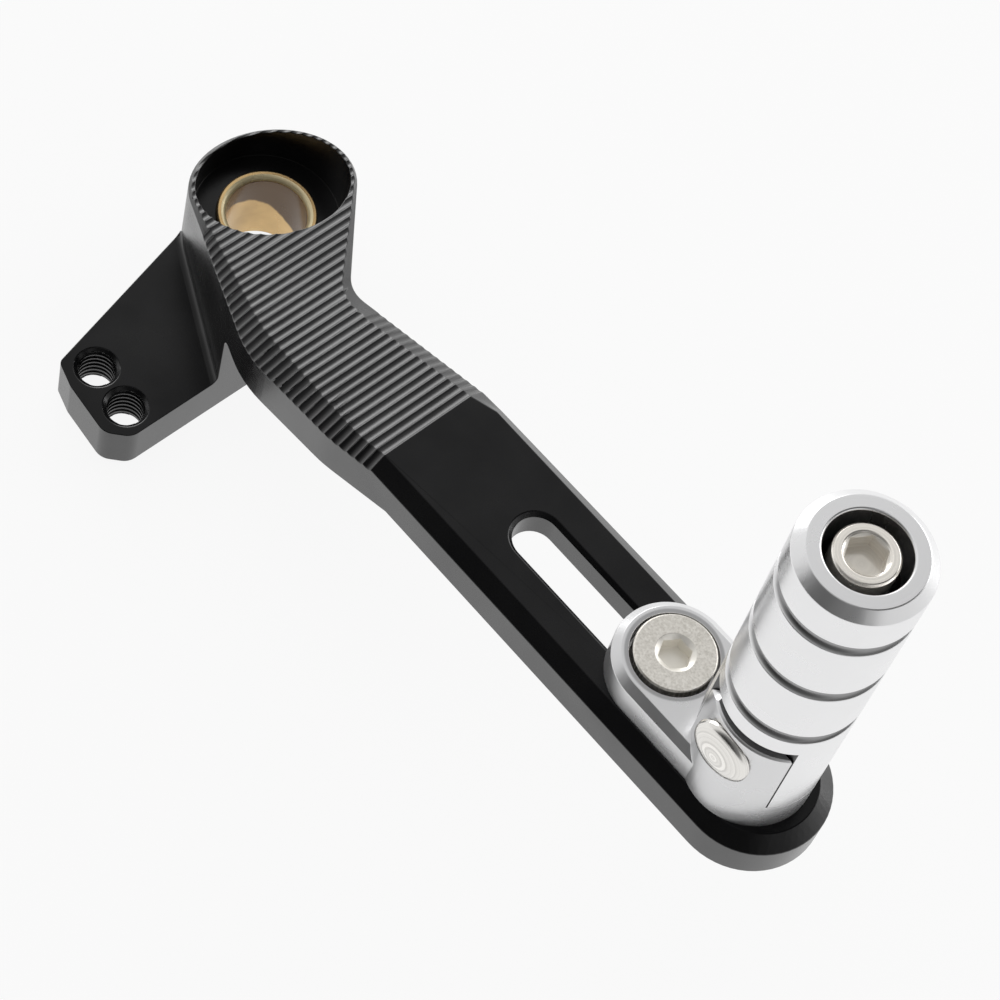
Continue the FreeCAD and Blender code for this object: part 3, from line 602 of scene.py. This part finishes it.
def wound_spring():
    # The wire's section, its corners rounded, stood upright and wound up round the peg's axis.
    shape = bmesh.new()
    wire = bmesh.ops.create_grid(shape, x_segments=1, y_segments=1, size=0.5)["verts"]
    bmesh.ops.scale(shape, verts=wire, vec=(*WIRE, 1.0))
    bmesh.ops.bevel(shape, geom=wire, offset=WIRE_EDGE, segments=3, profile=0.5, affect="VERTICES",
                    material=-1)
    bmesh.ops.rotate(shape, verts=shape.verts, matrix=Euler((math.pi / 2, 0.0, 0.0)).to_matrix())
    start = (PEG_PLACE[0] + SPRING_R, PEG_PLACE[1], SPRING_LOW + WIRE[1] / 2)
    bmesh.ops.translate(shape, verts=shape.verts, vec=start)
    rise = (SPRING_HIGH - SPRING_LOW) / SPRING_STEPS
    section = shape.faces[:] + shape.edges[:] + shape.verts[:]
    bmesh.ops.spin(shape, geom=section, cent=(*PEG_PLACE, 0.0), axis=(0.0, 0.0, 1.0), dvec=(0.0, 0.0, rise),
                   angle=2 * math.pi * SPRING_TURNS, steps=SPRING_STEPS, use_merge=False)
    bmesh.ops.recalc_face_normals(shape, faces=shape.faces)
    return shape


def spring_steel():
    material, tree, shader, place = metal("spring steel", SPRING_GREY, metallic=1.0, roughness=0.35)
    grain = placed_group(tree, GRAIN, place, Grain=3000.0)
    tree.links.new(spread(tree, grain.outputs["Clouds"], low=0.3, high=0.45), shader.inputs["Roughness"])
    bumped(tree, shader, grain.outputs["Height"], distance=0.00001)
    return material


WOUND = spring_steel()
spring = new_piece(wound_spring(), "peg_spring_finish", SPRING_SHARP_DEGREES)
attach(spring, "peg")
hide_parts("peg_spring")
clip = machined_piece(machined_shape("pin_clip"), "pin_clip", "peg", RING_EDGE)
for piece in (spring, clip):
    piece.data.materials.append(WOUND)


# Studio: a white table under a pale tent, which is darker on the camera's side and overhead.
# Soft lamps stand to the left and behind, and the camera looks down on the lever from the peg's side.
CAMERA_PLACE = (0.22204, -0.25299, 0.50922)
CAMERA_TURN = (29.1232, -9.7232, 48.2511)
CAMERA_LENS = 116.12
CAMERA_SENSOR = 36.0
CAMERA_NEAR = 0.01
TABLE_R = 6.0
TABLE_DROP = 0.0003
TABLE_WHITE = (0.92, 0.92, 0.92, 1.0)
TABLE_GLOW = 0.9
PURE_WHITE = (1.0, 1.0, 1.0, 1.0)
TENT_STRENGTH = 0.84
TENT_DARK_WAYS = (
    ((0.2, -0.82, 0.53), (0.45, 0.9), 0.2),
    ((0.45, 0.35, 0.82), (0.76, 0.94), 0.1),
    ((-0.1, -0.99, 0.0), (0.75, 0.95), 0.15),
)
LAMP_TARGET = Vector((0.07, -0.02, 0.04))
LAMP_DISTANCE = 1.3


def aimed_camera():
    view = bpy.data.cameras.new("view")
    view.lens = CAMERA_LENS
    view.sensor_width = CAMERA_SENSOR
    view.clip_start = CAMERA_NEAR
    camera = bpy.data.objects.new("camera", view)
    camera.location = CAMERA_PLACE
    camera.rotation_euler = [math.radians(angle) for angle in CAMERA_TURN]
    bpy.context.collection.objects.link(camera)
    return camera


def white_table():
    # White paint that keeps a faint shadow of the object, and is seen and mirrored as nearly pure white.
    material = bpy.data.materials.new("white table")
    material.use_nodes = True
    tree = material.node_tree
    tree.nodes.clear()
    paint = tree.nodes.new("ShaderNodeBsdfDiffuse")
    paint.inputs["Color"].default_value = TABLE_WHITE
    glow = tree.nodes.new("ShaderNodeEmission")
    glow.inputs["Color"].default_value = PURE_WHITE
    ray = tree.nodes.new("ShaderNodeLightPath")
    seen = maths(tree, "MAXIMUM", ray.outputs["Is Camera Ray"], ray.outputs["Is Glossy Ray"])
    mix = tree.nodes.new("ShaderNodeMixShader")
    tree.links.new(maths(tree, "MULTIPLY", seen, TABLE_GLOW), mix.inputs["Fac"])
    tree.links.new(paint.outputs[0], mix.inputs[1])
    tree.links.new(glow.outputs[0], mix.inputs[2])
    end = tree.nodes.new("ShaderNodeOutputMaterial")
    tree.links.new(mix.outputs[0], end.inputs["Surface"])
    return material


def pale_tent():
    # Each dark way is a direction, how near it the shade begins and is full, and how much light it leaves.
    world = bpy.data.worlds.new("pale tent")
    world.use_nodes = True
    tree = world.node_tree
    background = tree.nodes["Background"]
    background.inputs["Color"].default_value = PURE_WHITE
    place = tree.nodes.new("ShaderNodeTexCoord")
    strength = TENT_STRENGTH
    for way, (edge, core), dark in TENT_DARK_WAYS:
        facing = tree.nodes.new("ShaderNodeVectorMath")
        facing.operation = "DOT_PRODUCT"
        facing.inputs[1].default_value = Vector(way).normalized()
        tree.links.new(place.outputs["Generated"], facing.inputs[0])
        shade = ramped(tree, facing.outputs["Value"], edge, core, 1.0, dark)
        shade.node.interpolation_type = "SMOOTHSTEP"
        strength = maths(tree, "MULTIPLY", shade, strength)
    ray = tree.nodes.new("ShaderNodeLightPath")
    lit = maths(tree, "MAXIMUM", strength, ray.outputs["Is Camera Ray"])
    tree.links.new(lit, background.inputs["Strength"])
    return world


def soft_lamp(name, way, size, power):
    light = bpy.data.lights.new(name, "AREA")
    light.shape = "RECTANGLE"
    light.size, light.size_y = size
    light.energy = power
    lamp = bpy.data.objects.new(name, light)
    lamp.location = LAMP_TARGET + Vector(way).normalized() * LAMP_DISTANCE
    lamp.rotation_euler = Vector(way).to_track_quat("Z", "Y").to_euler()
    bpy.context.collection.objects.link(lamp)


bpy.context.scene.camera = aimed_camera()
table = bmesh.new()
bmesh.ops.create_circle(table, cap_ends=True, segments=64, radius=TABLE_R)
bmesh.ops.translate(table, verts=table.verts, vec=(0.0, 0.0, -TABLE_DROP))
floor = new_piece(table, "floor", SHARP_DEGREES)
floor.data.materials.append(white_table())
bpy.context.scene.world = pale_tent()
soft_lamp("left lamp", (-0.87, 0.45, 0.24), size=(0.9, 0.7), power=4.6)
soft_lamp("back lamp", (0.25, 0.9, 0.35), size=(0.9, 0.9), power=4.0)

bpy.context.scene.view_settings.view_transform = "Standard"
